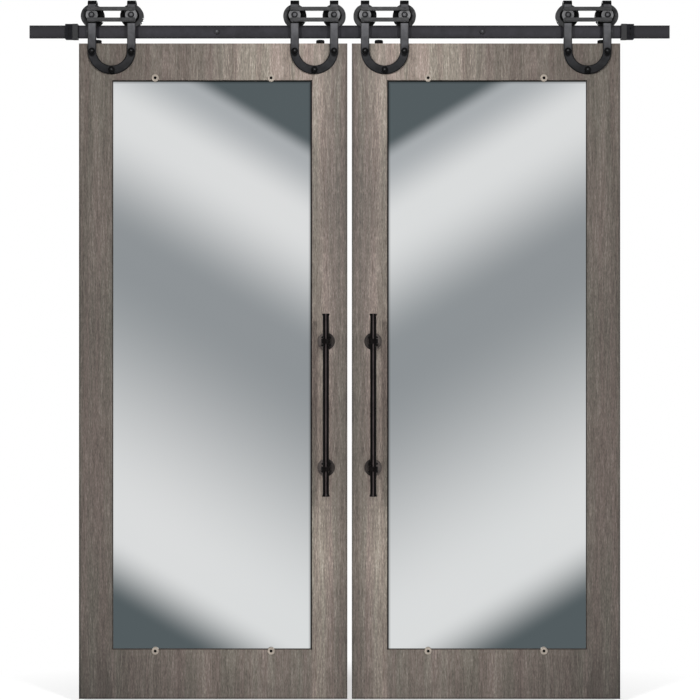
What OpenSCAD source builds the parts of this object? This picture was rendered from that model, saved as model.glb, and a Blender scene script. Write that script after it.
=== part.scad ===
// Pair of mirrored barn doors on one flat rail. Each leaf hangs from two horseshoe straps,
// and each strap is bent over a pair of grooved wheels.
// X runs along the rail, -Y faces the room and +Z is up. The origin lies on the wall plane,
// midway along the line of bolts that fix the rail.

/* [Leaves] */
// Width of each leaf
leaf_w = 832; // [760:1:920]
// Height of each leaf
leaf_h = 2032; // [1800:1:2300]
// Thickness of each leaf
leaf_t = 40; // [36:1:42]
// Gap between the two closed leaves
leaf_gap = 14; // [6:1:30]
// Gap between the rail and the leaf tops
leaf_drop = 18; // [14:1:30]
// Width of the stile at a leaf's inner edge
inner_stile_w = 110; // [95:1:125]
// Width of the stile at a leaf's outer edge
outer_stile_w = 103; // [95:1:125]
// Height of the rail across the head of a leaf
head_rail_h = 113.5; // [106:0.5:140]
// Height of the rail across the foot of a leaf
foot_rail_h = 153; // [110:1:220]
// Depth of the groove that holds the back panel
groove_depth = 10; // [6:1:14]
// Thickness of the back panel
panel_t = 16; // [10:1:20]
// Gap between the back panel's edge and the bottom of its groove
panel_edge_gap = 1; // [0.5:0.5:2]

/* [Mirrors] */
// Thickness of the mirror
mirror_t = 5; // [4:0.5:6]
// Depth of the mirror below the leaf's face
mirror_recess = 4; // [2:0.5:6]
// Gap around the mirror's edge
mirror_gap = 2.5; // [0.5:0.5:3]
// Diameter of a mirror button
button_d = 22.5; // [20:0.5:28]
// Thickness of a mirror button above the leaf's face
button_t = 4; // [3:0.5:6]
// Distance of the buttons from the leaf's edges
button_inset = 236.5; // [180:0.5:300]
// Distance of an upper button's centre from the edge of the mirror opening
head_button_offset = 6.5; // [3:0.5:6.5]
// Distance of a lower button's centre from the edge of the mirror opening
foot_button_offset = 4; // [3:0.5:6.5]
// Head diameter of a button screw
button_head_d = 9; // [7:0.5:10]
// Shank diameter of a button screw
button_screw_d = 4; // [3:0.5:4.5]
// Depth of a button screw in the wood
button_screw_bite = 8; // [5:0.5:8]

/* [Track] */
// Height of the flat rail
track_h = 40; // [36:1:46]
// Thickness of the flat rail
track_t = 6; // [5:0.5:8]
// Length of rail beyond each stop
track_overhang = 112; // [40:1:1200]
// Distance between the two inner fixing bolts
inner_bolt_span = 824; // [500:1:1200]
// Distance from a stop's buffer to the outer fixing bolt
outer_bolt_gap = 32; // [16:1:80]
// Length of a wall spacer
spacer_len = 35; // [32:1:45]
// Diameter of a wall spacer
spacer_d = 20; // [18:0.5:24]
// Shank diameter of a lag bolt
lag_d = 8; // [7:0.5:11]
// Size across the flats of a lag bolt's head
lag_head_af = 13; // [12.5:0.5:19]
// Height of a lag bolt's head
lag_head_h = 5.5; // [5:0.5:8]
// Length of a lag bolt behind the wall plane
lag_reach = 60; // [40:1:90]
// Length of a lag bolt's point
lag_point = 8; // [6:1:14]

/* [Stops] */
// Distance from a closed leaf's outer edge to the stop's buffer
stop_gap = 4; // [2:1:900]
// Length of a stop block along the rail
stop_len = 22.5; // [18:0.5:30]
// Length of a rubber buffer along the rail
bumper_len = 17; // [10:0.5:20]
// Wall of a stop in front of and behind the rail
stop_wall = 7; // [5:0.5:8]
// Wall of a stop above and below the rail
stop_lip = 3.5; // [3:0.5:6]
// Height of the rubber buffer above the stop block's faces
bumper_proud = 0.5; // [0.5:0.25:1.5]
// Diameter of a set screw
set_screw_d = 6; // [5:0.5:8]
// Distance between a stop's two set screws
set_screw_span = 18; // [12:1:24]

/* [Straps] */
// Distance from a leaf's edge to the middle of a strap
strap_inset = 102; // [92:1:140]
// Width of a strap's legs
strap_w = 26.5; // [22:0.5:30]
// Thickness of a strap
strap_t = 6; // [5:0.5:8]
// Drop from the leaf's top to the centre of the horseshoe's arc
arc_drop = 21.5; // [14:0.5:28]
// Inner radius of the bends over a wheel
bend_r = 6; // [4:0.5:9]
// Gap between a wheel and the strap above it
arch_gap = 5.5; // [3:0.5:8]
// Drop of the two upper strap bolts below the arc's centre
strap_bolt_dip = 3; // [2:0.5:12]
// Shank diameter of a strap bolt
strap_bolt_d = 10; // [8:0.5:10.5]
// Flange diameter of a strap bolt's head
strap_head_d = 20; // [17:0.5:22]
// Size across the flats of a strap bolt's nut
strap_nut_af = 16; // [15:0.5:18]
// Height of a strap bolt's nut
strap_nut_h = 6; // [5:0.5:7]

/* [Yokes] */
// Height of each bar of a yoke
yoke_bar_h = 10.5; // [8:0.5:13]
// Height of the slot between a yoke's bars
yoke_slot = 23; // [22.5:0.5:28]
// Rise of a yoke's bars above the axles
yoke_rise = 1.5; // [0:0.5:1.5]
// Depth of a yoke's bars
yoke_depth = 13; // [10:0.5:16]
// Corner radius of a yoke's bars
yoke_corner = 3; // [1:0.5:3.5]
// Diameter of the eye round each axle
yoke_eye_d = 37; // [32:0.5:40]
// Thickness of the eye round each axle
yoke_eye_t = 5; // [4:0.5:7]

/* [Wheels] */
// Distance between a strap's two wheels
wheel_pitch = 122; // [104:1:136]
// Diameter of a wheel over its flanges
wheel_d = 72; // [68:1:76]
// Diameter of a wheel's tread
tread_d = 57; // [55:0.5:60]
// Width of a wheel
wheel_w = 22; // [20:0.5:26]
// Width of the slope on each side of a wheel's groove
groove_flare = 2; // [1:0.5:3]
// Thickness of a wheel's web
web_t = 12; // [8:0.5:16]
// Inner diameter of a wheel's rim
rim_inner_d = 48; // [42:0.5:50]
// Diameter of a wheel's hub
hub_d = 30; // [28:0.5:34]
// Bevel on a wheel's outer corners
wheel_bevel = 1.5; // [0.5:0.5:2]
// Shank diameter of an axle bolt
axle_d = 10; // [8:0.5:11]
// Flange diameter of an axle bolt's head
axle_head_d = 19; // [17:0.5:19]
// Size across the flats of an axle nut
axle_nut_af = 17; // [15.5:0.5:19]
// Height of an axle nut
axle_nut_h = 8; // [6:0.5:9]
// Wall of a wheel bush
bush_wall = 3; // [2:0.25:3.5]
// Diameter of a wheel bush's flange
bush_flange_d = 26; // [22:0.5:27]
// Thickness of a wheel bush's flange
bush_flange_t = 2; // [1.5:0.25:3]

/* [Bolt heads] */
// Height of the flange under a domed head
head_flange_h = 2.5; // [1.5:0.5:4]
// Width of the flange outside a domed head
head_flange_w = 3; // [2:0.5:4]
// Height of a head's dome above its flange
head_dome_h = 5.5; // [4:0.5:6.5]
// Length of a bolt's end beyond its nut
bolt_tail = 1.5; // [0.5:0.5:3]

/* [Jump guards] */
// Diameter of a jump guard
guard_d = 26; // [22:0.5:30]
// Gap between a jump guard and the rail above it
guard_gap = 6; // [3:0.5:7]
// Rounding of a jump guard's top edge
guard_round = 3; // [1:0.5:3.5]
// Distance from the leaf's inner edge to its inner jump guard
guard_inner_inset = 84; // [60:1:95]
// Distance from the leaf's outer edge to its outer jump guard
guard_outer_inset = 56; // [54:1:95]
// Shank diameter of a guard screw
guard_screw_d = 5; // [4:0.5:6]
// Head diameter of a guard screw
guard_head_d = 9; // [8:0.5:11]
// Head height of a guard screw
guard_head_h = 3; // [2:0.5:4]
// Depth of a guard screw in the leaf
guard_screw_bite = 34; // [20:1:50]

/* [Pulls] */
// Distance from the leaf's inner edge to the pull bar
pull_inset = 65.5; // [45:0.5:80]
// Height of the pull's middle above the leaf's foot
pull_height = 913; // [800:1:1100]
// Length of the pull bar
pull_len = 560; // [480:1:700]
// Diameter of the pull bar
pull_d = 19; // [16:0.5:24]
// Width of the flare at each end of the pull bar beyond the bar
pull_end_w = 2; // [1:0.25:3]
// Length of the flare at each end of the pull bar
pull_end_len = 8; // [4:0.5:12]
// Length of the plain rim at the tip of each flare
pull_rim_len = 2; // [1:0.5:3]
// Distance between the two posts
post_span = 391; // [300:1:440]
// Distance from the leaf's face to the bar's centre line
pull_standoff = 62; // [50:1:80]
// Diameter of a post's stem
post_d = 12; // [9:0.5:13]
// Wall of the collar that holds the bar
collar_wall = 5; // [3:0.5:7]
// Height of the collar that holds the bar
collar_h = 14; // [14:0.5:24]
// Diameter of a rose
rose_d = 54; // [46:0.5:58]
// Thickness of a rose
rose_t = 7; // [6:0.5:10]
// Rounding of a rose's edge
rose_round = 3; // [1:0.5:3]
// Diameter of a rose's neck
rose_neck_d = 20; // [18:0.5:22]
// Height of a rose's neck above its face
rose_neck_h = 6; // [3:0.5:10]
// Distance of the rose screws from the rose's centre
rose_screw_r = 17; // [15.5:0.5:17.5]
// Shank diameter of a rose screw
rose_screw_d = 3.5; // [3:0.5:4]
// Head diameter of a rose screw
rose_head_d = 6.5; // [5:0.5:7]
// Head height of a rose screw
rose_head_h = 2; // [1.5:0.5:2.5]
// Depth of a rose screw in the wood
rose_screw_bite = 22; // [12:1:28]

/* [Hidden] */
$fn = 64;

// Clearances
bolt_play = 0.2;
lag_play = 0.5;
joint_play = 0.1;
running_play = 0.05;
side_play = 0.3;
tread_play = 0.2;
track_play = 0.2;
groove_play = 1;
lip_play = 0.5;
// How far a cutting tool runs past the face it cuts
past = 1;

// Turned corners of hex heads and nuts: height and face as shares of the size across the flats
hex_turn = 0.08;
hex_face = 0.95;
hex_slope = 30;

// Places across the wall, from the wall plane towards the room
track_back = -spacer_len;
track_front = track_back - track_t;
cheek_gap = wheel_w + 2 * (bush_flange_t + side_play);
leaf_front = track_back - track_t / 2 - cheek_gap / 2;

// Heights above the line of fixing bolts
leaf_top = -track_h / 2 - leaf_drop;

// Heights above the leaf's top
track_top = leaf_drop + track_h;
axle_z = track_top + tread_play + tread_d / 2;
arch_h = wheel_d / 2 + arch_gap + strap_t;

// Sizes of a leaf
opening_w = leaf_w - inner_stile_w - outer_stile_w;
opening_h = leaf_h - head_rail_h - foot_rail_h;
panel_front = mirror_recess + mirror_t;
guard_h = leaf_drop - guard_gap;

// Places along the rail, from the middle
leaf_edge = leaf_gap / 2 + leaf_w;
buffer_x = leaf_edge + stop_gap;
block_x = buffer_x + bumper_len;
track_len = 2 * (block_x + stop_len + track_overhang);
outer_bolt_x = buffer_x - outer_bolt_gap;
bolt_xs = [-outer_bolt_x, -inner_bolt_span / 2, inner_bolt_span / 2, outer_bolt_x];

// Places along a leaf, from its inner edge
strap_xs = [strap_inset, leaf_w - strap_inset];
wheel_xs = [for (x = strap_xs, s = [-1, 1]) x + s * wheel_pitch / 2];
guard_xs = [guard_inner_inset, leaf_w - guard_outer_inset];
button_xs = [button_inset, leaf_w - button_inset];

// The three bolts of a strap, from the centre of its arc
arc_r = wheel_pitch / 2;
strap_bolt_x = sqrt(arc_r * arc_r - strap_bolt_dip * strap_bolt_dip);
strap_bolt_spots = [
    [-strap_bolt_x, -strap_bolt_dip],
    [strap_bolt_x, -strap_bolt_dip],
    [0, -arc_r]
];

// Radii of a wheel's running parts
bush_r = axle_d / 2 + bolt_play + bush_wall;
bore_r = bush_r + running_play;

// The pull's middle and its two posts, above the leaf's top
pull_z = pull_height - leaf_h;
post_zs = [pull_z - post_span / 2, pull_z + post_span / 2];

// Colours
wood_colour = [0.44, 0.40, 0.37];
panel_colour = [0.40, 0.37, 0.34];
steel_colour = [0.24, 0.24, 0.25];
wheel_colour = [0.17, 0.17, 0.18];
pull_colour = [0.12, 0.11, 0.11];
mirror_colour = [0.75, 0.77, 0.78];
button_colour = [0.58, 0.54, 0.48];
screw_colour = [0.08, 0.08, 0.08];
zinc_colour = [0.62, 0.62, 0.60];
bush_colour = [0.55, 0.48, 0.30];
rubber_colour = [0.10, 0.10, 0.10];

LEAF_NODES = [
    "outer_stile", "inner_stile", "head_rail", "foot_rail", "back_panel", "mirror",
    "mirror_buttons", "button_screws", "outer_strap", "inner_strap", "yokes",
    "strap_bolts", "strap_nuts", "axle_bolts", "axle_nuts", "wheel_bushes",
    "wheel_1", "wheel_2", "wheel_3", "wheel_4", "jump_guards", "guard_screws",
    "pull_bar", "pull_posts", "pull_roses", "rose_screws"
];

// Frames

// The right half as drawn, or its mirror image on the left
module on_side(side) {
    if (side < 0) mirror([1, 0, 0]) children();
    else children();
}

// A leaf's own frame: its inner top corner on the front face, X outwards, Y to the back
module on_leaf(side) {
    on_side(side) translate([leaf_gap / 2, leaf_front, leaf_top]) children();
}

// Stands a flat drawing upright, so that what was up now faces the room
module face_on(y = 0) {
    translate([0, y, 0]) rotate([90, 0, 0]) children();
}

// Shared shapes

module ring(outer_d, inner_d, h) {
    difference() {
        cylinder(d = outer_d, h = h);
        translate([0, 0, -past]) cylinder(d = inner_d, h = h + 2 * past);
    }
}

module hex_prism(af, h) {
    cylinder(d = af / cos(30), h = h, $fn = 6);
}

// Hexagon whose upper corners are turned off to a round face
module hex_head(af, h) {
    turn_h = hex_turn * af;
    face_d = af * hex_face;
    corner_d = face_d + 2 * turn_h / tan(hex_slope);
    intersection() {
        hex_prism(af, h);
        union() {
            cylinder(d = corner_d, h = h - turn_h);
            translate([0, 0, h - turn_h]) cylinder(d1 = corner_d, d2 = face_d, h = turn_h);
        }
    }
}

// Nut behind the piece that it holds, with its turned corners to the back
module nut(af, h, bolt_d) {
    difference() {
        translate([0, 0, h]) mirror([0, 0, 1]) hex_head(af, h);
        translate([0, 0, -past]) cylinder(d = bolt_d + 2 * joint_play, h = h + 2 * past);
    }
}

// Cap of a sphere on a round base
module dome(d, h) {
    ball_r = (d * d / 4 + h * h) / (2 * h);
    rotate_extrude() intersection() {
        translate([0, h - ball_r]) circle(r = ball_r);
        square([d / 2, h]);
    }
}

// Bolt with a flanged, domed head above z = 0 and its shank below
module domed_bolt(head_d, shank_d, shank_l) {
    cylinder(d = head_d, h = head_flange_h);
    translate([0, 0, head_flange_h]) dome(head_d - 2 * head_flange_w, head_dome_h);
    translate([0, 0, -shank_l]) cylinder(d = shank_d, h = shank_l);
}

// Disc with a rounded upper edge, as a half section
module rounded_section(r, h, edge_r) {
    square([r, h - edge_r]);
    square([r - edge_r, h]);
    intersection() {
        translate([r - edge_r, h - edge_r]) circle(r = edge_r);
        square([r, h]);
    }
}

// Bar with rounded corners, as a flat outline about its centre
module rounded_bar(w, h, corner_r) {
    square([w - 2 * corner_r, h], center = true);
    square([w, h - 2 * corner_r], center = true);
    for (x = [-1, 1], y = [-1, 1]) {
        translate([x * (w / 2 - corner_r), y * (h / 2 - corner_r)]) circle(r = corner_r);
    }
}

// Track

module at_track_bolts() {
    for (x = bolt_xs) translate([x, 0, 0]) children();
}

module track_rail() {
    color(steel_colour) difference() {
        translate([-track_len / 2, track_front, -track_h / 2]) cube([track_len, track_t, track_h]);
        at_track_bolts() face_on(track_back + past) {
            cylinder(d = lag_d + 2 * lag_play, h = track_t + 2 * past);
        }
    }
}

module wall_spacers() {
    color(steel_colour) at_track_bolts() face_on() ring(spacer_d, lag_d + 2 * lag_play, spacer_len);
}

// The shank fills the spacer, and the slimmer thread begins at the wall plane
module lag_bolts() {
    thread_d = lag_d - 2 * lag_play;
    color(screw_colour) at_track_bolts() face_on() {
        cylinder(d = lag_d, h = spacer_len + track_t);
        translate([0, 0, spacer_len + track_t]) hex_head(lag_head_af, lag_head_h);
        translate([0, 0, lag_point - lag_reach]) cylinder(d = thread_d, h = lag_reach - lag_point);
        translate([0, 0, -lag_reach]) cylinder(d1 = 0, d2 = thread_d, h = lag_point);
    }
}

// Stops

// Block that slides on the rail, with its inner end at x and walls grown by proud
module rail_block(x, length, proud) {
    wall = stop_wall + proud;
    lip = stop_lip + proud;
    difference() {
        translate([x, track_front - wall, -track_h / 2 - lip]) {
            cube([length, track_t + 2 * wall, track_h + 2 * lip]);
        }
        translate([x - past, track_front - track_play, -track_h / 2 - track_play]) {
            cube([length + 2 * past, track_t + 2 * track_play, track_h + 2 * track_play]);
        }
    }
}

module at_set_screws() {
    for (z = [-1, 1] * set_screw_span / 2) translate([block_x + stop_len / 2, track_front, z]) children();
}

module end_stop(side) {
    color(steel_colour) on_side(side) difference() {
        rail_block(block_x, stop_len, 0);
        at_set_screws() face_on() cylinder(d = set_screw_d + 2 * bolt_play, h = stop_wall + past);
    }
}

module stop_bumpers() {
    color(rubber_colour) for (side = [-1, 1]) on_side(side) rail_block(buffer_x, bumper_len, bumper_proud);
}

// Socket screws that bear on the rail and end flush with the stop
module stop_set_screws() {
    socket_af = set_screw_d / 2;
    socket_depth = stop_wall / 2;
    color(screw_colour) for (side = [-1, 1]) on_side(side) at_set_screws() face_on() difference() {
        cylinder(d = set_screw_d, h = stop_wall);
        translate([0, 0, stop_wall - socket_depth]) hex_prism(socket_af, socket_depth + past);
    }
}

// Leaf frame

module strap_bolt_places() {
    for (x = strap_xs, spot = strap_bolt_spots) {
        translate([x + spot[0], 0, spot[1] - arc_drop]) children();
    }
}

module strap_bolt_holes() {
    strap_bolt_places() face_on(leaf_t + past) {
        cylinder(d = strap_bolt_d + 2 * bolt_play, h = leaf_t + 2 * past);
    }
}

// Places of the jump guards on the leaf's top edge, below the middle of the rail
module guard_places() {
    for (x = guard_xs) translate([x, cheek_gap / 2, 0]) children();
}

module guard_screw_holes() {
    hole_l = guard_screw_bite + past;
    guard_places() translate([0, 0, -hole_l]) {
        cylinder(d = guard_screw_d + 2 * joint_play, h = hole_l + past);
    }
}

module rose_places() {
    for (z = post_zs) translate([pull_inset, 0, z]) children();
}

module rose_screw_places() {
    rose_places() face_on() for (turn = [45:90:315]) {
        rotate([0, 0, turn]) translate([rose_screw_r, 0, 0]) children();
    }
}

module rose_screw_holes() {
    hole_l = rose_screw_bite + past;
    rose_screw_places() translate([0, 0, -hole_l]) {
        cylinder(d = rose_screw_d + 2 * joint_play, h = hole_l + past);
    }
}

// Places of the two upper buttons
module head_button_places() {
    for (x = button_xs) translate([x, 0, head_button_offset - head_rail_h]) children();
}

// Places of the two lower buttons, turned over so that each lip meets the mirror
module foot_button_places() {
    for (x = button_xs) {
        translate([x, 0, foot_rail_h - leaf_h - foot_button_offset]) mirror([0, 0, 1]) children();
    }
}

module all_button_places() {
    head_button_places() children();
    foot_button_places() children();
}

module button_screw_holes() {
    hole_l = button_screw_bite + bolt_play;
    all_button_places() face_on(hole_l) cylinder(d = button_screw_d + 2 * joint_play, h = hole_l + past);
}

// Upright of a leaf, grooved along the edge that faces the opening
module stile(x, w, groove_x) {
    groove_w = panel_t + 2 * joint_play;
    color(wood_colour) difference() {
        translate([x, 0, -leaf_h]) cube([w, leaf_t, leaf_h]);
        translate([groove_x, panel_front - joint_play, -leaf_h - past]) {
            cube([groove_depth + past, groove_w, leaf_h + 2 * past]);
        }
        strap_bolt_holes();
        guard_screw_holes();
        rose_screw_holes();
    }
}

module inner_stile(side) {
    on_leaf(side) stile(0, inner_stile_w, inner_stile_w - groove_depth);
}

module outer_stile(side) {
    x = leaf_w - outer_stile_w;
    on_leaf(side) stile(x, outer_stile_w, x - past);
}

// Rail of a leaf with a stub tenon at each end, grooved along the edge at groove_z
module cross_rail(z, h, groove_z) {
    tenon = groove_depth - joint_play;
    color(wood_colour) difference() {
        union() {
            translate([inner_stile_w, 0, z]) cube([opening_w, leaf_t, h]);
            translate([inner_stile_w - tenon, panel_front, z]) cube([opening_w + 2 * tenon, panel_t, h]);
        }
        translate([inner_stile_w - tenon - past, panel_front - joint_play, groove_z]) {
            cube([opening_w + 2 * (tenon + past), panel_t + 2 * joint_play, groove_depth + past]);
        }
        strap_bolt_holes();
        button_screw_holes();
    }
}

module head_rail(side) {
    on_leaf(side) cross_rail(-head_rail_h, head_rail_h, -head_rail_h - past);
}

module foot_rail(side) {
    on_leaf(side) cross_rail(-leaf_h, foot_rail_h, foot_rail_h - leaf_h - groove_depth);
}

// Pane that fills the opening apart from a margin, positive inside the opening
module pane(margin, front, t) {
    translate([inner_stile_w + margin, front, foot_rail_h - leaf_h + margin]) {
        cube([opening_w - 2 * margin, t, opening_h - 2 * margin]);
    }
}

module back_panel(side) {
    color(panel_colour) on_leaf(side) pane(panel_edge_gap - groove_depth, panel_front, panel_t);
}

module mirror_pane(side) {
    color(mirror_colour) on_leaf(side) pane(mirror_gap, mirror_recess, mirror_t);
}

// Mirror buttons

// Round button on the leaf's face, edge_gap from the opening, with a lip that reaches down to the mirror
module mirror_button(edge_gap) {
    bevel = button_t / 4;
    head_depth = button_t / 2;
    lip_top = -edge_gap - lip_play;
    difference() {
        union() {
            cylinder(d = button_d, h = button_t - bevel);
            translate([0, 0, button_t - bevel]) {
                cylinder(d1 = button_d, d2 = button_d - 2 * bevel, h = bevel);
            }
            intersection() {
                translate([0, 0, -mirror_recess]) cylinder(d = button_d, h = button_t);
                translate([-button_d, lip_top - button_d, -mirror_recess]) {
                    cube([2 * button_d, button_d, mirror_recess + bevel]);
                }
            }
        }
        translate([0, 0, -past]) cylinder(d = button_screw_d + 2 * bolt_play, h = button_t + past);
        translate([0, 0, button_t - head_depth]) {
            cylinder(d = button_head_d + 2 * bolt_play, h = head_depth + past);
        }
    }
}

module mirror_buttons(side) {
    color(button_colour) on_leaf(side) {
        head_button_places() face_on() mirror_button(head_button_offset);
        foot_button_places() face_on() mirror_button(foot_button_offset);
    }
}

module button_screws(side) {
    head_seat = button_t / 2;
    shank_l = head_seat + button_screw_bite;
    color(screw_colour) on_leaf(side) all_button_places() face_on(-head_seat) {
        dome(button_head_d, head_seat);
        translate([0, 0, -shank_l]) cylinder(d = button_screw_d, h = shank_l);
    }
}

// Straps

// Flat horseshoe with both legs, drawn about the centre of its arc
module horseshoe(leg_h) {
    outer_r = arc_r + strap_w / 2;
    inner_r = arc_r - strap_w / 2;
    difference() {
        union() {
            circle(r = outer_r);
            translate([-outer_r, 0]) square([2 * outer_r, leg_h]);
        }
        circle(r = inner_r);
        translate([-inner_r, 0]) square([2 * inner_r, leg_h + past]);
    }
}

// Upright outline with its two upper corners rounded
module arch_outline(w, h, corner_r) {
    square([w, h - corner_r]);
    translate([corner_r, 0]) square([w - 2 * corner_r, h]);
    for (x = [corner_r, w - corner_r]) translate([x, h - corner_r]) circle(r = corner_r);
}

// End of a leg, bent over the wheel and down behind it to the axle
module wheel_arch() {
    translate([-strap_w / 2, 0, axle_z]) rotate([90, 0, 90]) linear_extrude(strap_w) difference() {
        translate([-strap_t, 0]) arch_outline(cheek_gap + 2 * strap_t, arch_h, bend_r + strap_t);
        translate([0, -past]) arch_outline(cheek_gap, arch_h - strap_t + past, bend_r);
    }
    translate([0, 0, axle_z]) face_on(cheek_gap + strap_t) cylinder(d = strap_w, h = strap_t);
}

module at_axles() {
    for (x = [-1, 1] * wheel_pitch / 2) translate([x, 0, axle_z]) children();
}

module strap(side, strap_x) {
    axle_hole_l = cheek_gap + 2 * (strap_t + past);
    color(steel_colour) on_leaf(side) difference() {
        translate([strap_x, 0, 0]) difference() {
            union() {
                translate([0, 0, -arc_drop]) face_on() {
                    linear_extrude(strap_t) horseshoe(axle_z + arc_drop);
                }
                for (x = [-1, 1] * wheel_pitch / 2) translate([x, 0, 0]) wheel_arch();
            }
            at_axles() face_on(cheek_gap + strap_t + past) {
                cylinder(d = axle_d + 2 * bolt_play, h = axle_hole_l);
            }
        }
        strap_bolt_places() face_on(past) {
            cylinder(d = strap_bolt_d + 2 * bolt_play, h = strap_t + 2 * past);
        }
    }
}

module strap_bolts(side) {
    shank_l = strap_t + leaf_t + strap_nut_h + bolt_tail;
    color(screw_colour) on_leaf(side) strap_bolt_places() face_on(-strap_t) {
        domed_bolt(strap_head_d, strap_bolt_d, shank_l);
    }
}

module strap_nuts(side) {
    color(zinc_colour) on_leaf(side) strap_bolt_places() face_on(leaf_t + strap_nut_h) {
        nut(strap_nut_af, strap_nut_h, strap_bolt_d);
    }
}

// Yokes and axles

// Two bars joined by an eye round each axle
module yoke() {
    difference() {
        union() {
            for (y = [-1, 1] * (yoke_slot + yoke_bar_h) / 2) {
                translate([0, y + yoke_rise, 0]) linear_extrude(yoke_depth) {
                    rounded_bar(wheel_pitch + strap_w, yoke_bar_h, yoke_corner);
                }
            }
            for (x = [-1, 1] * wheel_pitch / 2) {
                translate([x, 0, 0]) cylinder(d = yoke_eye_d, h = yoke_eye_t);
            }
        }
        for (x = [-1, 1] * wheel_pitch / 2) {
            translate([x, 0, -past]) cylinder(d = axle_d + 2 * bolt_play, h = yoke_eye_t + 2 * past);
        }
    }
}

module yokes(side) {
    color(steel_colour) on_leaf(side) for (x = strap_xs) {
        translate([x, 0, axle_z]) face_on(-strap_t) yoke();
    }
}

module wheel_places() {
    for (x = wheel_xs) translate([x, 0, axle_z]) children();
}

module axle_bolts(side) {
    shank_l = yoke_eye_t + 2 * strap_t + cheek_gap + axle_nut_h + bolt_tail;
    color(screw_colour) on_leaf(side) wheel_places() face_on(-strap_t - yoke_eye_t) {
        domed_bolt(axle_head_d, axle_d, shank_l);
    }
}

module axle_nuts(side) {
    color(zinc_colour) on_leaf(side) wheel_places() face_on(cheek_gap + strap_t + axle_nut_h) {
        nut(axle_nut_af, axle_nut_h, axle_d);
    }
}

// Half a wheel's bearing: a sleeve that ends at the wheel's middle, and a flange against the strap
module wheel_bush() {
    sleeve_l = cheek_gap / 2 - joint_play;
    difference() {
        union() {
            cylinder(r = bush_r, h = sleeve_l);
            cylinder(d = bush_flange_d, h = bush_flange_t);
        }
        translate([0, 0, -past]) cylinder(d = axle_d + 2 * bolt_play, h = sleeve_l + 2 * past);
    }
}

module wheel_bushes(side) {
    color(bush_colour) on_leaf(side) wheel_places() {
        face_on(cheek_gap) wheel_bush();
        mirror([0, 1, 0]) face_on() wheel_bush();
    }
}

// Half section of a wheel: bore, hub, dished web, rim and flanged groove
module wheel_section() {
    half_w = wheel_w / 2;
    rim_r = wheel_d / 2;
    tread_half = track_t / 2 + groove_play;
    front_half = [
        [tread_d / 2, tread_half],
        [rim_r, tread_half + groove_flare],
        [rim_r, half_w - wheel_bevel],
        [rim_r - wheel_bevel, half_w],
        [rim_inner_d / 2, half_w],
        [rim_inner_d / 2, web_t / 2],
        [hub_d / 2, web_t / 2],
        [hub_d / 2, half_w],
        [bore_r, half_w]
    ];
    last = len(front_half) - 1;
    back_half = [for (i = [last:-1:0]) [front_half[i][0], -front_half[i][1]]];
    polygon(concat(front_half, back_half));
}

// Wheels are counted from the leaf's inner edge outwards
module wheel(side, index) {
    color(wheel_colour) on_leaf(side) translate([wheel_xs[index], 0, axle_z]) {
        face_on(cheek_gap / 2) rotate_extrude() wheel_section();
    }
}

// Jump guards

module jump_guards(side) {
    color(steel_colour) on_leaf(side) guard_places() rotate_extrude() difference() {
        rounded_section(guard_d / 2, guard_h, guard_round);
        translate([0, -past]) square([guard_screw_d / 2 + bolt_play, guard_h + 2 * past]);
        translate([0, guard_h - guard_head_h]) square([guard_head_d / 2 + bolt_play, guard_head_h + past]);
    }
}

module guard_screws(side) {
    shank_l = guard_screw_bite + guard_h - guard_head_h;
    color(screw_colour) on_leaf(side) guard_places() {
        translate([0, 0, guard_h - guard_head_h]) cylinder(d = guard_head_d, h = guard_head_h);
        translate([0, 0, -guard_screw_bite]) cylinder(d = guard_screw_d, h = shank_l);
    }
}

// Pulls

// Half section of the pull bar's upper half, with its flared end
module pull_section() {
    bar_r = pull_d / 2;
    rim_r = bar_r + pull_end_w;
    half_l = pull_len / 2;
    polygon([
        [0, 0], [bar_r, 0], [bar_r, half_l - pull_end_len],
        [rim_r, half_l - pull_rim_len], [rim_r, half_l], [0, half_l]
    ]);
}

module pull_bar(side) {
    color(pull_colour) on_leaf(side) translate([pull_inset, -pull_standoff, pull_z]) {
        for (end = [0, 1]) mirror([0, 0, end]) rotate_extrude() pull_section();
    }
}

// Stem from the leaf's face to a collar round the bar
module pull_posts(side) {
    bore_d = pull_d + 2 * joint_play;
    color(pull_colour) on_leaf(side) rose_places() difference() {
        union() {
            face_on() cylinder(d = post_d, h = pull_standoff);
            translate([0, -pull_standoff, 0]) {
                cylinder(d = bore_d + 2 * collar_wall, h = collar_h, center = true);
            }
        }
        translate([0, -pull_standoff, 0]) cylinder(d = bore_d, h = collar_h + 2 * past, center = true);
    }
}

module pull_roses(side) {
    neck_r = rose_neck_d / 2;
    color(pull_colour) on_leaf(side) rose_places() face_on() difference() {
        rotate_extrude() difference() {
            union() {
                rounded_section(rose_d / 2, rose_t, rose_round);
                square([neck_r, rose_t + rose_neck_h]);
            }
            translate([0, -past]) square([post_d / 2 + joint_play, rose_t + rose_neck_h + 2 * past]);
        }
        for (turn = [45:90:315]) rotate([0, 0, turn]) translate([rose_screw_r, 0, -past]) {
            cylinder(d = rose_screw_d + 2 * bolt_play, h = rose_t + 2 * past);
        }
    }
}

module rose_screws(side) {
    color(screw_colour) on_leaf(side) rose_screw_places() {
        translate([0, 0, rose_t]) dome(rose_head_d, rose_head_h);
        translate([0, 0, -rose_screw_bite]) cylinder(d = rose_screw_d, h = rose_t + rose_screw_bite);
    }
}

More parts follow.
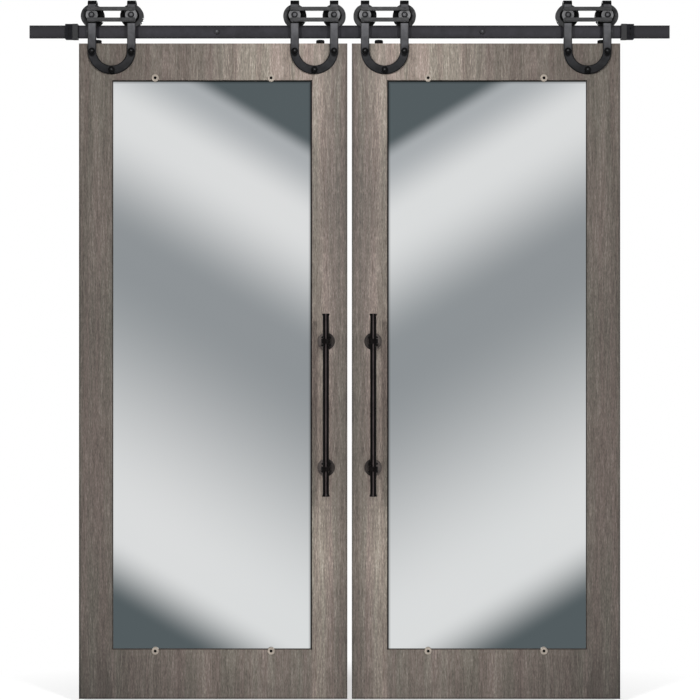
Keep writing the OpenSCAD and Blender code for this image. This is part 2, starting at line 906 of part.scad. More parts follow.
track_rail();
wall_spacers();
lag_bolts();
end_stop(-1);  // left_end_stop
end_stop(1);  // right_end_stop
stop_bumpers();
stop_set_screws();
for (side = [-1, 1]) {
    leaf = side < 0 ? "left_" : "right_";
    outer_stile(side);
    inner_stile(side);
    head_rail(side);
    foot_rail(side);
    back_panel(side);
    mirror_pane(side);
    mirror_buttons(side);
    button_screws(side);
    strap(side, strap_xs[0]);
    strap(side, strap_xs[1]);
    yokes(side);
    strap_bolts(side);
    strap_nuts(side);
    axle_bolts(side);
    axle_nuts(side);
    wheel_bushes(side);
    for (index = [0:3]) {
        wheel(side, index);
    }
    jump_guards(side);
    guard_screws(side);
    pull_bar(side);
    pull_posts(side);
    pull_roses(side);
    rose_screws(side);
}
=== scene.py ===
import math
from functools import reduce

import bpy
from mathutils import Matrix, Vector


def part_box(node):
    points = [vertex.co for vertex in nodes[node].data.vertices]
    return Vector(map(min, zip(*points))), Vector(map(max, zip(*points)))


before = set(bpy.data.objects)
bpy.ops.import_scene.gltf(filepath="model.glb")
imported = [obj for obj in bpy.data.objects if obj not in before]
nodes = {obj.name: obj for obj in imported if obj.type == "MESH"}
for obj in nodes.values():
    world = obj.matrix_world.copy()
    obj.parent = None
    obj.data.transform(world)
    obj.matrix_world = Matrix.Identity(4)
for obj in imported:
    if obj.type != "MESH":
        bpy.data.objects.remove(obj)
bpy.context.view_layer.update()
SIDES = ("left", "right")
STRAP_WHEELS = {"inner_strap": (1, 2), "outer_strap": (3, 4)}

# Lengths are in metres. Colours are sRGB values, until linear() turns them into what shaders take.


def linear(colour):
    """An sRGB colour as the linear values that shaders take, with alpha."""
    def channel(c):
        return c / 12.92 if c <= 0.04045 else ((c + 0.055) / 1.055) ** 2.4
    return tuple(channel(c) for c in colour) + (1.0,)


def tinted(tone, share):
    """A share of an sRGB tone, in linear values."""
    return linear(tuple(min(1.0, c * share) for c in tone))


def grey(level):
    """An even grey, in linear values."""
    return linear((level, level, level))


WHITE = grey(1.0)

# Camera: level, square to the leaves, far enough back for the photo's small parallax
LENS = 85.0  # mm
SENSOR = 36.0  # mm
VIEW_WIDTH = 2.17  # width of the picture at the leaves' front
VIEW_RISE = 1.0817  # the camera's height above the leaves' feet
CAMERA_X = 0.0013

# Floor: the soft shadow shows inside an oval, and plain white takes over towards its rim
FLOOR_HALF = 9.0
FLOOR_GAP = 0.012  # between the leaves' feet and the floor
FLOOR_GLOW = 0.45
SHADOW_RUN = 1.5
SHADOW_DEPTH = 0.7
SHADOW_FADE = 0.55  # share of the oval at which the white begins

# Lights, with powers in watts
STRIP_GAP = 0.90  # before the leaves' front
STRIP_Z = -1.0
STRIP_SIZE = (0.30, 2.30)
STRIP_POWER = 2.4
LAMP_SIZE = (0.83,)
LAMP_AIM_Z = -0.95
KEY_X = 3.5
KEY_Y = -6.05
KEY_Z = 1.70
KEY_POWER = 270.0
BACK_Y = 6.0
BACK_Z = 0.5
BACK_POWER = 160.0

# What the mirrors reflect: bands by a direction's slant, which is its run times a slope, less its rise
SLATE = linear((0.345, 0.378, 0.390))
MID = linear((0.585, 0.60, 0.612))
DIM = linear((0.695, 0.707, 0.718))
PALE = grey(0.90)
BAND_SLOPE = 0.605
BANDS = [
    (-0.1130, SLATE), (-0.1005, DIM), (-0.0640, PALE), (-0.0557, PALE), (0.0151, MID),
    (0.0290, MID), (0.1870, PALE), (0.1980, PALE), (0.2385, SLATE),
]
FAR_BANDS = [
    (-1.20, MID), (-0.80, PALE), (-0.50, MID), (-0.30, SLATE), (0.42, SLATE),
    (0.64, PALE), (0.85, MID), (1.20, SLATE), (2.00, PALE),
]
LEAST_DEPTH = 0.05  # keeps the slant finite beside the leaves
FILL_LIGHT = (0.38, 0.38, 0.38, 1.0)  # linear

# Wood laminate
WOOD_TONES = [
    (0.00, (0.335, 0.300, 0.272)),
    (0.38, (0.440, 0.404, 0.374)),
    (0.65, (0.505, 0.468, 0.437)),
    (1.00, (0.640, 0.596, 0.562)),
]
WOOD_SPAN = (0.88, 1.36)  # of the layers' sum
WARMTH_TINTS = [(0.0, (0.965, 1.010, 0.975, 1.0)), (1.0, (1.050, 0.985, 0.995, 1.0))]  # linear
GRAIN_SWAY = 0.018
PORE_TONE = (0.20, 0.17, 0.15)
PORE_SPAN = (0.60, 0.70)
PORE_DEPTH = 0.40

# Painted steel
COAT_CONTRAST = 0.16
INNER_BOLT_X = 0.412
LAG_HIGHLIGHT_RISE = 0.0015  # painted highlight above a fixing bolt's middle
STRAP_HEAD_R = 0.010
STRAP_HIGHLIGHT_RISE = 0.001  # painted highlight above a strap bolt's middle
STRAP_SHADOW_DROP = 0.0075  # painted shadow below a strap bolt's middle
WHEEL_SHADOW_TOP = (0.014, 0.020)  # above the axle, where a wheel's painted shadow ends

# Spans that hold most values of a noise, and its middle ones
NOISE_SPAN = (0.3, 0.7)
NARROW_SPAN = (0.36, 0.64)

# Edges: a small round on each hard edge, so that edges catch the light
LEAF_EDGES = {
    "outer_stile": 0.0008, "inner_stile": 0.0008, "head_rail": 0.0006, "foot_rail": 0.0006,
    "mirror": 0.0005, "outer_strap": 0.0008, "inner_strap": 0.0008, "yokes": 0.0009,
    "mirror_buttons": 0.0004,
}
RAIL_EDGES = {
    "track_rail": 0.0008, "left_end_stop": 0.0008, "right_end_stop": 0.0008, "stop_bumpers": 0.0008,
}
HARD_EDGE = math.radians(40)
WELD_GAP = 0.00001


# Shader nodes

def fill(tree, node, inputs):
    """Fills a node's inputs with values or with other nodes' outputs."""
    for key, value in inputs.items():
        if isinstance(value, bpy.types.NodeSocket):
            tree.links.new(value, node.inputs[key])
        else:
            node.inputs[key].default_value = value


def add(tree, kind, inputs=None, **settings):
    """Adds a node, sets its options and fills its inputs."""
    node = tree.nodes.new(kind)
    for key, value in settings.items():
        setattr(node, key, value)
    fill(tree, node, inputs or {})
    return node


def calc(tree, operation, a, b=0.0, clamp=False):
    """The result of an operation on one or two numbers."""
    node = add(tree, "ShaderNodeMath", {0: a, 1: b}, operation=operation, use_clamp=clamp)
    return node.outputs[0]


def fold(tree, operation, values):
    """One number from several, such as their sum or the least of them."""
    return reduce(lambda a, b: calc(tree, operation, a, b), values)


def weigh(tree, pairs):
    """The sum of (value, weight) pairs."""
    return fold(tree, "ADD", [calc(tree, "MULTIPLY", value, weight) for value, weight in pairs])


def axes_of(tree, vector):
    """A vector's X, Y and Z."""
    return add(tree, "ShaderNodeSeparateXYZ", {0: vector}).outputs


def vector_of(tree, x, y, z=0.0):
    """The vector of three numbers."""
    return add(tree, "ShaderNodeCombineXYZ", {"X": x, "Y": y, "Z": z}).outputs[0]


def length_of(tree, vector):
    """A vector's length."""
    return add(tree, "ShaderNodeVectorMath", {0: vector}, operation="LENGTH").outputs["Value"]


def stretch(tree, vector, scale, shift=(0.0, 0.0, 0.0)):
    """The vector times a scale for each axis, plus a shift."""
    node = add(tree, "ShaderNodeVectorMath", {0: vector, 1: scale, 2: shift}, operation="MULTIPLY_ADD")
    return node.outputs[0]


def noise(tree, vector, scale=1.0, detail=2.0, roughness=0.5):
    """Soft noise from 0 to 1."""
    node = add(tree, "ShaderNodeTexNoise",
               {"Vector": vector, "Scale": scale, "Detail": detail, "Roughness": roughness})
    return node.outputs["Fac"]


def upright(tree, vector, across, up, shift=(0.0, 0.0, 0.0), detail=2.0, roughness=0.5):
    """Noise drawn out upwards, with its scale across and its scale up."""
    drawn = stretch(tree, vector, (across, across, up), shift)
    return noise(tree, drawn, detail=detail, roughness=roughness)


def ramp(tree, factor, stops, interpolation="LINEAR"):
    """A colour ramp from (place, linear colour) stops."""
    node = add(tree, "ShaderNodeValToRGB", {"Fac": factor})
    node.color_ramp.interpolation = interpolation
    elements = node.color_ramp.elements
    while len(elements) < len(stops):
        elements.new(0.5)
    for element, (place, colour) in zip(elements, stops):
        element.position = place
        element.color = colour
    return node.outputs["Color"]


def levels(tree, factor, low, high, to_low=0.0, to_high=1.0):
    """The factor's span from low to high, spread over another span and held at its ends."""
    node = add(tree, "ShaderNodeMapRange", {"Value": factor, "From Min": low, "From Max": high,
                                            "To Min": to_low, "To Max": to_high})
    return node.outputs["Result"]


def spread(tree, factor, stops, interpolation="LINEAR"):
    """A ramp from (value, linear colour) stops, with the values in their own units."""
    low, high = stops[0][0], stops[-1][0]
    places = [((value - low) / (high - low), colour) for value, colour in stops]
    return ramp(tree, levels(tree, factor, low, high), places, interpolation)


def shares(tree, factor, stops):
    """A ramp from (value, share of the colour) stops, with the values in their own units."""
    return spread(tree, factor, [(value, (share, share, share, 1.0)) for value, share in stops])


def blend(tree, factor, a, b, blend_type="MIX"):
    """Colour a with a factor's share of colour b."""
    node = add(tree, "ShaderNodeMix", {0: factor, 6: a, 7: b}, data_type="RGBA", blend_type=blend_type)
    return node.outputs[2]


def times(tree, colour, shade):
    """A colour times a shade."""
    return blend(tree, 1.0, colour, shade, "MULTIPLY")


def relief(tree, height, strength, distance):
    """The normal of a surface with a fine relief."""
    node = add(tree, "ShaderNodeBump", {"Height": height, "Strength": strength, "Distance": distance})
    return node.outputs["Normal"]


def new_material(name):
    """A material with its node tree, its shader and the place on the object in metres."""
    material = bpy.data.materials.new(name)
    material.use_nodes = True
    tree = material.node_tree
    place = add(tree, "ShaderNodeTexCoord").outputs["Object"]
    return material, tree, tree.nodes["Principled BSDF"], place


# Measures: places on the part, and distances from them, alike on both leaves

def middle(name):
    """The middle of a node's box."""
    low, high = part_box(name)
    return (low + high) / 2


def strap_columns():
    """The right leaf's two straps, by their distance from the pair's middle."""
    return [middle("right_inner_strap").x, middle("right_outer_strap").x]


def off_middle(tree, place):
    """The sideways distance from the pair's middle."""
    return calc(tree, "ABSOLUTE", axes_of(tree, place)["X"])


def past_axis(tree, place, axis):
    """How far a place lies beyond an upright axis, counted from the meeting edges."""
    return calc(tree, "SUBTRACT", off_middle(tree, place), abs(axis.x))


def nearest_gap(tree, place, columns):
    """The sideways distance from the nearest of some columns."""
    across = off_middle(tree, place)
    gaps = [calc(tree, "ABSOLUTE", calc(tree, "SUBTRACT", across, column)) for column in columns]
    return fold(tree, "MINIMUM", gaps)


def reach(tree, run, rise):
    """The straight distance over a run and a rise."""
    return length_of(tree, vector_of(tree, run, rise))


def off_centre(tree, place, columns, height):
    """The distance from the nearest of some points at one height, in front view."""
    rise = calc(tree, "SUBTRACT", axes_of(tree, place)["Z"], height)
    return reach(tree, nearest_gap(tree, place, columns), rise)


def off_bolts(tree, place, rise):
    """The distance from the nearest of the points that lie a rise above the strap bolts' middles."""
    low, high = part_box("right_strap_bolts")
    straps = strap_columns()
    half_span = high.x - STRAP_HEAD_R - straps[-1]
    legs = [x + s * half_span for x in straps for s in (-1, 1)]
    upper = off_centre(tree, place, legs, high.z - STRAP_HEAD_R + rise)
    lower = off_centre(tree, place, straps, low.z + STRAP_HEAD_R + rise)
    return calc(tree, "MINIMUM", upper, lower)


def beyond(tree, place, low, high):
    """How far a place lies beyond an upright rectangle's inner, top, outer and lower edge."""
    across = off_middle(tree, place)
    height = axes_of(tree, place)["Z"]
    return [
        calc(tree, "SUBTRACT", low.x, across),
        calc(tree, "SUBTRACT", height, high.z),
        calc(tree, "SUBTRACT", across, high.x),
        calc(tree, "SUBTRACT", low.z, height),
    ]


# Shades: how much of a colour is left at each place, mostly painted light and shade

def along(axis, stops):
    """A painted light and shade by the distance from the pair's middle ("X") or by height ("Z")."""
    def shade(tree, place):
        value = off_middle(tree, place) if axis == "X" else axes_of(tree, place)[axis]
        return shares(tree, value, stops)
    return shade


def edge_shade(tree, place):
    """The leaves' upright edges and feet are darker in a thin strip along them."""
    inner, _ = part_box("right_inner_stile")
    _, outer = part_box("right_outer_stile")
    across = off_middle(tree, place)
    nearest = fold(tree, "MINIMUM", [
        calc(tree, "SUBTRACT", across, inner.x),
        calc(tree, "SUBTRACT", outer.x, across),
        calc(tree, "SUBTRACT", axes_of(tree, place)["Z"], inner.z),
    ])
    return shares(tree, nearest, [(0.0, 0.80), (0.0020, 0.60), (0.0045, 0.66), (0.0070, 1.0)])


def rebate_shade(tree, place):
    """The mirror's rebate carries painted shade: black at its inner side, and faint at the other three."""
    low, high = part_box("right_mirror")
    gap = low.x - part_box("right_inner_stile")[1].x
    inner, *others = beyond(tree, place, low, high)
    outside = levels(tree, fold(tree, "MAXIMUM", [inner, *others]), gap + 0.0004, gap + 0.0010)
    # Painted shade in the rebate's gap
    paint = shares(tree, inner, [(-0.0010, 0.90), (0.0, 0.10)])
    return blend(tree, outside, paint, WHITE)


def mirror_edge_shadow(tree, place):
    """The mirror carries a painted shadow along its inner edge, and a little farther in along its top."""
    inner, top, *_ = beyond(tree, place, *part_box("right_mirror"))
    near = calc(tree, "MAXIMUM", inner, calc(tree, "ADD", top, 0.0006))
    return shares(tree, near, [(-0.0090, 1.0), (-0.0035, 0.70), (-0.0010, 0.15), (0.0, 0.05)])


def strap_light_and_shade(tree, place):
    """A strap has painted light and shade: pale on its legs, dark on its bow and borders, black behind and
    under the yoke and over the wheels, with painted shadows below its bolts.
    """
    low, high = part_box("right_inner_strap")
    outer_r = (high.x - low.x) / 2
    arc_r = abs(middle("right_wheel_1").x - middle("right_inner_strap").x)
    half_w = outer_r - arc_r
    height = axes_of(tree, place)["Z"]
    run = nearest_gap(tree, place, strap_columns())
    drop = calc(tree, "MINIMUM", calc(tree, "SUBTRACT", height, low.z + outer_r), 0.0)
    off_line = calc(tree, "ABSOLUTE", calc(tree, "SUBTRACT", reach(tree, run, drop), arc_r))
    # Painted shade along both borders
    painted_border_shade = shares(tree, off_line, [
        (0.0, 1.0), (half_w - 0.0038, 1.0), (half_w - 0.0012, 0.30), (half_w, 0.12),
    ])
    # Painted light and shade by height: pale legs, dark bow, black under the yoke and over the wheels, a pale
    # band above the yoke
    painted_light_by_height = shares(tree, height, [
        (-0.1340, 0.11), (-0.1180, 0.13), (-0.0980, 0.18), (-0.0800, 0.19), (-0.0600, 0.24), (-0.0515, 0.35),
        (-0.0391, 0.49), (-0.0267, 0.49), (-0.0143, 0.65), (0.0043, 0.745), (0.0150, 0.83), (0.0228, 1.0),
        (0.0240, 0.04), (0.0720, 0.04), (0.0735, 0.75), (0.0815, 0.70), (0.0830, 0.02), (0.0962, 0.01),
    ])
    # Painted shadow below each bolt
    painted_bolt_shadows = shares(tree, off_bolts(tree, place, -STRAP_SHADOW_DROP), [
        (0.0, 0.12), (0.0075, 0.16), (0.0115, 1.0), (0.0120, 1.0),
    ])
    return times(tree, times(tree, painted_light_by_height, painted_border_shade), painted_bolt_shadows)


def yoke_light_and_shade(tree, place):
    """A yoke's bars are painted a little darker on their front faces and black on their sides, a painted
    shade, and its eyes are painted brighter, a painted highlight.
    """
    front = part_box("right_yokes")[0].y
    depth = calc(tree, "SUBTRACT", axes_of(tree, place)["Y"], front)
    return shares(tree, depth, [
        (0.0, 0.32), (0.0012, 0.32), (0.0022, 0.05), (0.0070, 0.05), (0.0079, 1.0), (0.0130, 1.0),
    ])


def track_shade(tree, place):
    """The rail is painted darker along its two long edges and beyond the stops, a painted shade."""
    height = calc(tree, "ABSOLUTE", axes_of(tree, place)["Z"])
    edges = shares(tree, height, [
        (0.0, 1.0), (0.0090, 0.92), (0.0140, 0.72), (0.0170, 0.50), (0.0200, 0.50),
    ])
    ends = along("X", [(0.82, 1.0), (0.88, 0.68), (1.0, 0.68)])
    return times(tree, edges, ends(tree, place))


def wheel_shade(axle, strap):
    """A wheel has painted light on its rim, painted shade on its web and hub, and a painted shadow on its
    side towards the strap's middle.
    """
    inwards = 1.0 if abs(middle(strap).x) > abs(axle.x) else -1.0
    shadow_top = [axle.z + rise for rise in WHEEL_SHADOW_TOP]

    def shade(tree, place):
        # Painted light on the rim and painted shade on the web and hub
        rim = shares(tree, off_centre(tree, place, [abs(axle.x)], axle.z), [
            (0.0, 0.02), (0.0215, 0.02), (0.0236, 0.90), (0.0260, 1.0), (0.0345, 1.0), (0.0360, 0.5),
        ])
        # Measured from the strap, so that the painted shadow doesn't turn with the wheel
        still = add(tree, "ShaderNodeTexCoord", object=nodes[strap]).outputs["Object"]
        towards = calc(tree, "MULTIPLY", past_axis(tree, still, axle), inwards)
        painted_shadow = shares(tree, towards, [(0.0100, 1.0), (0.0140, 0.06)])
        above = levels(tree, axes_of(tree, still)["Z"], *shadow_top)
        return times(tree, rim, blend(tree, above, painted_shadow, WHITE))
    return shade


def rose_sheen_and_shade(axis):
    """A rose has a painted reflection on the half that faces away from the meeting edge, and painted shade on
    the other half, darkest beside the bar.
    """
    def shade(tree, place):
        return shares(tree, past_axis(tree, place, axis), [
            (-0.0270, 0.22), (-0.0200, 0.32), (-0.0150, 0.18), (-0.0110, 0.06), (-0.0040, 0.04),
            (0.0060, 0.55), (0.0100, 0.90), (0.0270, 0.95),
        ])
    return shade


def bar_highlight(axis):
    """A pull bar has a painted highlight along a narrow line on its front."""
    def shade(tree, place):
        return shares(tree, past_axis(tree, place, axis), [
            (-0.0100, 0.01), (-0.0030, 0.02), (-0.0008, 0.95), (0.0010, 0.95), (0.0030, 0.02), (0.0100, 0.01),
        ])
    return shade


def axle_highlight_and_shade(tree, place):
    """An axle bolt's head has a painted highlight in the middle and painted shade round its rim."""
    axles = [middle(f"right_wheel_{i}") for wheels in STRAP_WHEELS.values() for i in wheels]
    radius = off_centre(tree, place, [axle.x for axle in axles], axles[0].z)
    return shares(tree, radius, [(0.0, 1.0), (0.0045, 0.85), (0.0065, 0.22), (0.0095, 0.12)])


def bolt_highlight(tree, place):
    """A strap bolt's head is black, with a small painted highlight above its middle."""
    radius = off_bolts(tree, place, STRAP_HIGHLIGHT_RISE)
    return shares(tree, radius, [(0.0, 1.0), (0.0018, 0.80), (0.0034, 0.03), (0.0120, 0.02)])


def lag_highlight_and_shade(tree, place):
    """A fixing bolt's head has a painted highlight above its middle and painted shade round its rim."""
    low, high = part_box("lag_bolts")
    head_r = high.z
    outer_bolt_x = (high.x - low.x) / 2 - head_r
    radius = off_centre(tree, place, [INNER_BOLT_X, outer_bolt_x], LAG_HIGHLIGHT_RISE)
    return shares(tree, radius, [
        (0.0, 1.0), (0.0012, 0.95), (0.0032, 0.36), (0.0055, 0.26), (0.0100, 0.20),
    ])


# Materials

def wood_material(name, tone_and_light_lift, shades=()):
    """Grey-brown wood laminate with upright grain, alike on both leaves about the middle."""
    material, tree, shader, place = new_material(name)
    axes = axes_of(tree, place)
    across = off_middle(tree, place)
    mirrored = vector_of(tree, across, axes["Y"], axes["Z"])

    # The grain wanders sideways by a few millimetres, which draws its slow arches
    sway = upright(tree, mirrored, 6.0, 2.4)
    grain_x = calc(tree, "ADD", across, calc(tree, "MULTIPLY", sway, GRAIN_SWAY))
    grain = vector_of(tree, grain_x, axes["Y"], axes["Z"])

    boards = upright(tree, grain, 22.0, 0.9, shift=(3.1, 0.0, 0.0))
    streaks = upright(tree, grain, 130.0, 3.6, detail=3.0, roughness=0.6)
    ticks = upright(tree, grain, 340.0, 24.0, roughness=0.6)
    specks = upright(tree, mirrored, 420.0, 110.0, shift=(0.0, 2.7, 0.0))
    fibres = upright(tree, mirrored, 1100.0, 50.0, detail=3.0, roughness=0.6)
    pores = levels(tree, upright(tree, grain, 1300.0, 80.0, detail=1.0), *PORE_SPAN)
    warmth = upright(tree, grain, 40.0, 1.4, shift=(0.0, 7.3, 0.0), detail=3.0)

    layers = weigh(tree, [(boards, 0.36), (streaks, 0.25), (ticks, 0.54), (specks, 0.45), (fibres, 0.60)])
    tones = [(at, tinted(tone, tone_and_light_lift)) for at, tone in WOOD_TONES]
    colour = ramp(tree, levels(tree, layers, *WOOD_SPAN), tones)
    colour = times(tree, colour, ramp(tree, levels(tree, warmth, *NARROW_SPAN), WARMTH_TINTS))
    colour = blend(tree, calc(tree, "MULTIPLY", pores, PORE_DEPTH), colour, linear(PORE_TONE))
    # The shades paint light and shade into the colour; the lift is partly the board's own tone and partly
    # painted light
    for shade in (*shades, edge_shade, rebate_shade):
        colour = times(tree, colour, shade(tree, place))
    fill(tree, shader, {
        "Base Color": colour,
        "Roughness": levels(tree, fibres, *NOISE_SPAN, 0.46, 0.60),
        "Normal": relief(tree, calc(tree, "SUBTRACT", fibres, pores), 0.25, 0.0004),
    })
    return material


def steel_material(name, tone, roughness=0.42, shine=0.12, shade=None):
    """Painted steel: a fine-textured coat with faint cloudy wear, with painted light and shade where shade
    says so.
    """
    material, tree, shader, place = new_material(name)
    clouds = noise(tree, place, 38.0, detail=5.0, roughness=0.6)
    flecks = noise(tree, place, 1400.0, detail=2.0, roughness=0.7)
    mottle = levels(tree, weigh(tree, [(clouds, 0.6), (flecks, 0.4)]), *NARROW_SPAN)
    dark, pale = tinted(tone, 1.0 - COAT_CONTRAST), tinted(tone, 1.0 + COAT_CONTRAST)
    colour = ramp(tree, mottle, [(0.0, dark), (1.0, pale)])
    if shade:
        colour = times(tree, colour, shade(tree, place))
    fill(tree, shader, {
        "Base Color": colour,
        "Roughness": levels(tree, clouds, *NOISE_SPAN, roughness - 0.07, roughness + 0.09),
        "Specular IOR Level": shine,
        "Normal": relief(tree, flecks, 0.12, 0.0002),
    })
    return material


def metal_material(name, tone, roughness=0.32):
    """Bare or plated metal with fine turning marks."""
    material, tree, shader, place = new_material(name)
    clouds = noise(tree, place, 90.0, detail=4.0)
    marks = noise(tree, stretch(tree, place, (500.0, 2600.0, 500.0)), detail=2.0)
    dark, pale = tinted(tone, 0.86), tinted(tone, 1.10)
    fill(tree, shader, {
        "Base Color": ramp(tree, levels(tree, clouds, 0.35, 0.65), [(0.0, dark), (1.0, pale)]),
        "Metallic": 1.0,
        "Roughness": levels(tree, marks, *NOISE_SPAN, roughness - 0.08, roughness + 0.12),
        "Normal": relief(tree, marks, 0.1, 0.0002),
    })
    return material


def mirror_material(name):
    """Silvered glass: clean, with a faint cool cast, and a painted shadow along its inner and top edges."""
    material, tree, shader, place = new_material(name)
    cast = noise(tree, place, 1.3, detail=1.0)
    colour = ramp(tree, cast, [(0.3, linear((0.945, 0.955, 0.957))), (0.7, linear((0.955, 0.960, 0.962)))])
    fill(tree, shader, {
        "Base Color": times(tree, colour, mirror_edge_shadow(tree, place)),
        "Metallic": 1.0,
        "Roughness": 0.0,
    })
    return material


def plastic_material(name, tone, roughness=0.45):
    """Plastic or rubber with a fine grain."""
    material, tree, shader, place = new_material(name)
    grainy = noise(tree, place, 700.0, detail=3.0)
    clouds = noise(tree, place, 60.0, detail=2.0)
    dark, pale = tinted(tone, 0.92), tinted(tone, 1.06)
    fill(tree, shader, {
        "Base Color": ramp(tree, levels(tree, clouds, *NOISE_SPAN), [(0.0, dark), (1.0, pale)]),
        "Roughness": levels(tree, grainy, *NOISE_SPAN, roughness - 0.06, roughness + 0.08),
        "Normal": relief(tree, grainy, 0.15, 0.0002),
    })
    return material


def wheel_coats():
    """A coat for each wheel, with its painted shadow tied to the strap that carries it."""
    coats = {}
    for side in SIDES:
        for strap, wheels in STRAP_WHEELS.items():
            for i in wheels:
                wheel = f"{side}_wheel_{i}"
                shade = wheel_shade(middle(wheel), f"{side}_{strap}")
                coats[wheel] = steel_material(f"{wheel}_steel", (0.258, 0.258, 0.262), shade=shade)
    return coats


# Finishes

# Each piece's lift and along() shades paint light and shade as the light falls on it; the lifts also carry
# each board's own tone
outer_wood = wood_material("outer_stile_laminate", 0.965, [
    along("Z", [
        (-2.07, 0.51), (-1.92, 0.70), (-1.75, 0.75), (-1.60, 0.86),
        (-1.26, 0.93), (-0.90, 0.735), (-0.47, 0.89), (-0.20, 0.98),
    ]),
])
inner_wood = wood_material("inner_stile_laminate", 1.345, [
    along("Z", [
        (-2.07, 0.66), (-1.82, 0.73), (-1.62, 1.0), (-1.45, 0.80),
        (-1.20, 0.65), (-0.93, 0.72), (-0.50, 0.52), (-0.20, 0.80),
    ]),
    along("X", [(0.0, 0.60), (0.037, 0.60), (0.055, 0.69), (0.095, 1.0), (0.12, 1.0)]),
])
head_wood = wood_material("head_rail_laminate", 1.287, [
    along("X", [(0.10, 1.0), (0.30, 0.97), (0.42, 0.60), (0.74, 0.48)]),
])
foot_wood = wood_material("foot_rail_laminate", 1.00, [
    along("X", [(0.10, 0.93), (0.20, 1.0), (0.42, 1.0), (0.55, 0.80), (0.74, 0.66)]),
    along("Z", [(-2.07, 0.86), (-1.93, 1.0)]),
])
panel = wood_material("back_panel_laminate", 0.90)
pull_axis = middle("right_pull_bar")
strap_steel = steel_material("strap_steel", (0.427, 0.427, 0.440), shade=strap_light_and_shade)
yoke_steel = steel_material("yoke_steel", (0.485, 0.485, 0.49), shade=yoke_light_and_shade)
track = steel_material("rail_steel", (0.166, 0.162, 0.180), roughness=0.5, shade=track_shade)
stop_steel = steel_material("stop_steel", (0.118, 0.118, 0.132), roughness=0.5)
wheel_steel = wheel_coats()
bar_steel = steel_material("bar_steel", (0.260, 0.232, 0.232), roughness=0.30, shine=0.08,
                           shade=bar_highlight(pull_axis))
post_steel = steel_material("post_steel", (0.05, 0.04, 0.04), roughness=0.30, shine=0.08)
rose_steel = steel_material("rose_steel", (0.37, 0.342, 0.33), shade=rose_sheen_and_shade(pull_axis))
bolt_steel = steel_material("bolt_black", (0.27, 0.27, 0.275), roughness=0.30, shine=0.20, shade=bolt_highlight)
dull_steel = steel_material("dull_black", (0.05, 0.05, 0.052), roughness=0.5, shine=0.08)
lag_steel = steel_material("lag_steel", (0.335, 0.335, 0.35), shade=lag_highlight_and_shade)
axle_steel = steel_material("axle_bolt_steel", (0.40, 0.40, 0.41), roughness=0.30, shade=axle_highlight_and_shade)
zinc = metal_material("zinc_plate", (0.72, 0.72, 0.71))
bronze = metal_material("bush_bronze", (0.62, 0.50, 0.31))
mirror = mirror_material("silvered_glass")
beige = plastic_material("button_beige", (0.680, 0.638, 0.590))
rubber = plastic_material("buffer_rubber", (0.11, 0.11, 0.115), roughness=0.75)

LEAF_FINISH = {
    "outer_stile": outer_wood, "inner_stile": inner_wood, "head_rail": head_wood, "foot_rail": foot_wood,
    "back_panel": panel,
    "mirror": mirror, "mirror_buttons": beige, "button_screws": dull_steel,
    "outer_strap": strap_steel, "inner_strap": strap_steel, "yokes": yoke_steel, "strap_bolts": bolt_steel,
    "strap_nuts": zinc, "axle_bolts": axle_steel, "axle_nuts": zinc, "wheel_bushes": bronze,
    "jump_guards": dull_steel, "guard_screws": dull_steel,
    "pull_bar": bar_steel, "pull_posts": post_steel, "pull_roses": rose_steel, "rose_screws": dull_steel,
}
RAIL_FINISH = {
    "track_rail": track, "wall_spacers": track, "lag_bolts": lag_steel, "left_end_stop": stop_steel,
    "right_end_stop": stop_steel, "stop_bumpers": rubber, "stop_set_screws": dull_steel,
}


def of_both_leaves(table):
    """The (node, value) pairs of a table that names one leaf's pieces."""
    return [(f"{side}_{name}", value) for side in SIDES for name, value in table.items()]


def dress(name, material):
    """Gives a node its one material."""
    slots = nodes[name].data.materials
    slots.clear()
    slots.append(material)


def round_edges(name, radius):
    """Rounds a node's hard edges."""
    modifiers = nodes[name].modifiers
    weld = modifiers.new("weld", "WELD")
    weld.merge_threshold = WELD_GAP
    bevel = modifiers.new("edges", "BEVEL")
    bevel.width = radius
    bevel.segments = 3
    bevel.limit_method = "ANGLE"
    bevel.angle_limit = HARD_EDGE
    bevel.loop_slide = False
    bevel.harden_normals = True


for name, material in (*RAIL_FINISH.items(), *wheel_steel.items(), *of_both_leaves(LEAF_FINISH)):
    dress(name, material)
for name, radius in (*of_both_leaves(LEAF_EDGES), *RAIL_EDGES.items()):
    round_edges(name, radius)

# Floor, light and camera

scene = bpy.context.scene
scene.view_settings.view_transform = "Standard"
leaf_low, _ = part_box("right_inner_stile")
leaf_front = leaf_low.y
leaf_foot = leaf_low.z


def floor_material():
    """Pale paint that the camera sees a little lifted, and plain white beyond the shadow's oval."""
    material, tree, shader, place = new_material("floor_paint")
    clouds = noise(tree, place, 3.0, detail=3.0)
    seen = add(tree, "ShaderNodeLightPath").outputs["Is Camera Ray"]
    fill(tree, shader, {
        "Base Color": ramp(tree, clouds, [(0.3, grey(0.90)), (0.7, grey(0.915))]),
        "Roughness": 0.7,
        "Emission Color": WHITE,
        "Emission Strength": calc(tree, "MULTIPLY", seen, FLOOR_GLOW),
    })
    oval = stretch(tree, place, (1.0 / SHADOW_RUN, 1.0 / SHADOW_DEPTH, 0.0))
    far = calc(tree, "MULTIPLY", levels(tree, length_of(tree, oval), SHADOW_FADE, 1.0), seen)
    white = add(tree, "ShaderNodeEmission", {"Color": WHITE, "Strength": 1.0})
    mixed = add(tree, "ShaderNodeMixShader", {0: far, 1: shader.outputs[0], 2: white.outputs[0]})
    fill(tree, tree.nodes["Material Output"], {"Surface": mixed.outputs[0]})
    return material


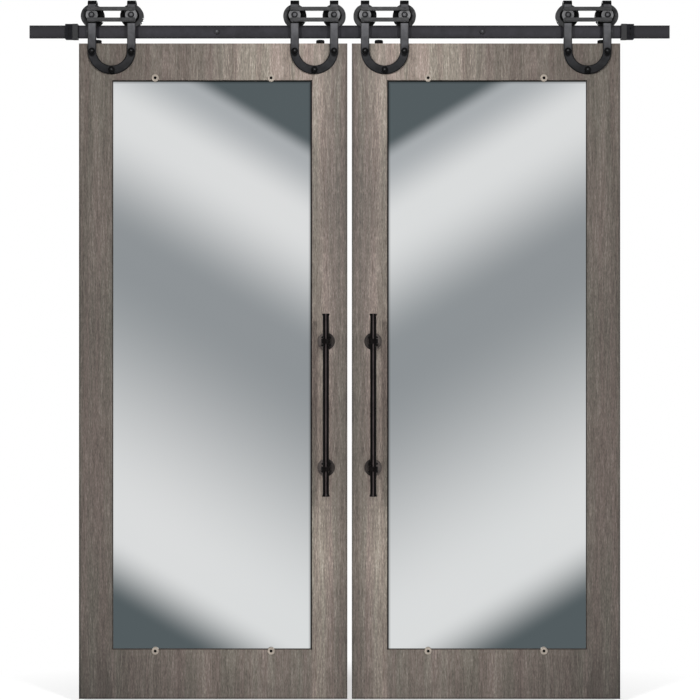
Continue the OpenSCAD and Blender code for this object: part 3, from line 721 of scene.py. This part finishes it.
def make_floor():
    """Floor that keeps the soft shadow near the leaves and fades to the white background beyond it."""
    half = FLOOR_HALF
    corners = [(-half, -half, 0), (half, -half, 0), (half, half, 0), (-half, half, 0)]
    mesh = bpy.data.meshes.new("floor")
    mesh.from_pydata(corners, [], [(0, 1, 2, 3)])
    floor = bpy.data.objects.new("floor", mesh)
    floor.location = (0.0, leaf_front, leaf_foot - FLOOR_GAP)
    scene.collection.objects.link(floor)
    floor.data.materials.append(floor_material())
    floor.visible_glossy = False
    return floor


def make_world():
    """White for the camera, even fill light, and soft slanting bands for what the mirrors reflect."""
    world = bpy.data.worlds.new("studio")
    scene.world = world
    world.use_nodes = True
    tree = world.node_tree
    tree.nodes.clear()
    direction = axes_of(tree, add(tree, "ShaderNodeTexCoord").outputs["Generated"])
    depth = calc(tree, "MAXIMUM", calc(tree, "ABSOLUTE", direction["Y"]), LEAST_DEPTH)
    run = calc(tree, "DIVIDE", calc(tree, "ABSOLUTE", direction["X"]), depth)
    rise = calc(tree, "DIVIDE", direction["Z"], depth)
    slant = calc(tree, "SUBTRACT", calc(tree, "MULTIPLY", run, BAND_SLOPE), rise)
    # Slate ends the near bands and lies between the far ones, so the lighter of the two counts
    near, far = (spread(tree, slant, bands, "EASE") for bands in (BANDS, FAR_BANDS))
    bands = blend(tree, 1.0, near, far, "LIGHTEN")
    path = add(tree, "ShaderNodeLightPath").outputs
    sharp = calc(tree, "ADD", path["Is Glossy Ray"], path["Is Transmission Ray"], clamp=True)
    light = blend(tree, sharp, FILL_LIGHT, bands)
    colour = blend(tree, path["Is Camera Ray"], light, WHITE)
    background = add(tree, "ShaderNodeBackground", {"Color": colour, "Strength": 1.0})
    add(tree, "ShaderNodeOutputWorld", {"Surface": background.outputs[0]})


def area_light(name, place, aim, power, shape, size):
    """Area light at a place, aimed at a point, that the camera doesn't see."""
    light = bpy.data.lights.new(name, "AREA")
    light.shape = shape
    light.size = size[0]
    light.size_y = size[-1]
    light.energy = power
    obj = bpy.data.objects.new(name, light)
    obj.location = place
    obj.rotation_euler = (Vector(aim) - Vector(place)).to_track_quat("-Z", "Y").to_euler()
    obj.visible_camera = False
    scene.collection.objects.link(obj)
    return obj


def spare(light, objects):
    """Keeps a light off some objects."""
    group = bpy.data.collections.new(f"{light.name}_spares")
    for obj in objects:
        group.objects.link(obj)
    for entry in group.collection_objects:
        entry.light_linking.link_state = "EXCLUDE"
    light.light_linking.receiver_collection = group


def make_lights(floor):
    """A tall soft strip before the meeting edges, a key for each leaf, and one lamp for the back."""
    strip_place = (0.0, leaf_front - STRIP_GAP, STRIP_Z)
    strip = area_light("strip", strip_place, (0.0, leaf_front, STRIP_Z), STRIP_POWER, "RECTANGLE", STRIP_SIZE)
    strip.visible_glossy = False
    aim = (0.0, leaf_front, LAMP_AIM_Z)
    # A key stands beyond one leaf and is kept off it, so that it lights the other
    for side, x in zip(SIDES, (-KEY_X, KEY_X)):
        key = area_light(f"key_{side}", (x, KEY_Y, KEY_Z), aim, KEY_POWER, "DISK", LAMP_SIZE)
        spare(key, [obj for name, obj in nodes.items() if name.startswith(side)])
    back = area_light("back", (0.0, BACK_Y, BACK_Z), aim, BACK_POWER, "DISK", LAMP_SIZE)
    spare(back, [floor])


def make_camera():
    """The photo's view."""
    data = bpy.data.cameras.new("camera")
    data.lens = LENS
    data.sensor_width = SENSOR
    camera = bpy.data.objects.new("camera", data)
    distance = VIEW_WIDTH * LENS / SENSOR
    camera.location = (CAMERA_X, leaf_front - distance, leaf_foot + VIEW_RISE)
    camera.rotation_euler = (math.radians(90), 0.0, 0.0)
    scene.collection.objects.link(camera)
    scene.camera = camera


floor = make_floor()
make_world()
make_lights(floor)
make_camera()
